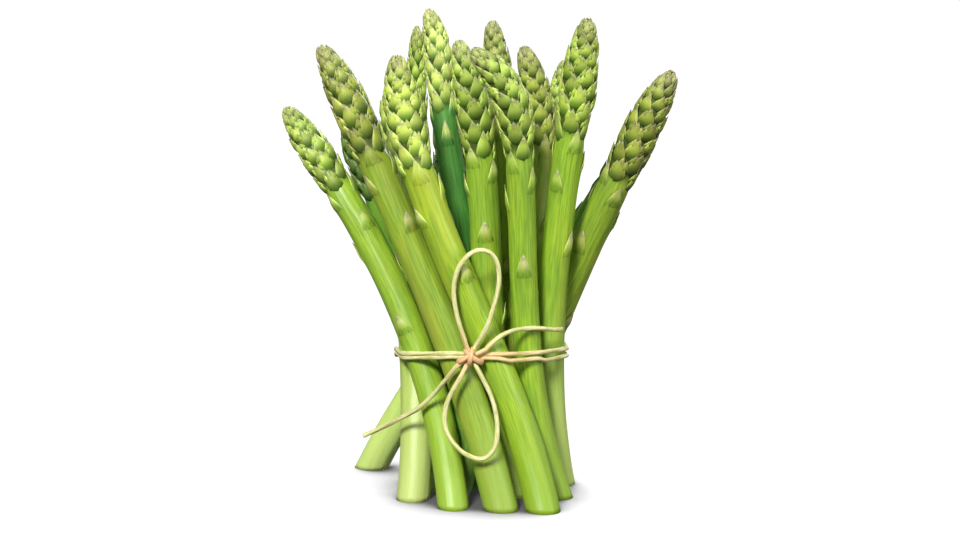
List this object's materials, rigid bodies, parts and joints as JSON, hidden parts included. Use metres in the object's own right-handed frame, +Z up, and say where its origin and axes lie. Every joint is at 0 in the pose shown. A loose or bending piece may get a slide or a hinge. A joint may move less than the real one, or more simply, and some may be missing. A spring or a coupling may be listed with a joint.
{
  "type": "bundle of asparagus",
  "caption": "Green asparagus spears twisted about a waist and tied there with raffia in a bow, standing on their level cut ends.",
  "frame": {"origin": "on the surface that the bundle stands on, at the middle of the tie seen from above, where the middle spear stands", "axes": "+Z up; -Y towards the bow, the front; +X to the right seen from the front"},
  "size_m": [0.1582, 0.0969, 0.197],
  "materials": {
    "asparagus": "satin skin, closely scaled heads, paler butts",
    "raffia": "dry pale straw fibre"
  },
  "bodies": {
    "root": {"spear_01": "asparagus", "spear_02": "asparagus", "spear_03": "asparagus", "spear_04": "asparagus", "spear_05": "asparagus", "spear_06": "asparagus", "spear_07": "asparagus", "spear_08": "asparagus", "spear_09": "asparagus", "spear_10": "asparagus", "spear_11": "asparagus", "spear_12": "asparagus", "spear_13": "asparagus", "spear_14": "asparagus", "spear_15": "asparagus", "spear_16": "asparagus", "spear_17": "asparagus", "tie_wraps": "raffia", "tie_loop_upper": "raffia", "tie_loop_lower": "raffia", "tie_tail_left": "raffia", "tie_tail_right": "raffia"}
  },
  "joints": []
}
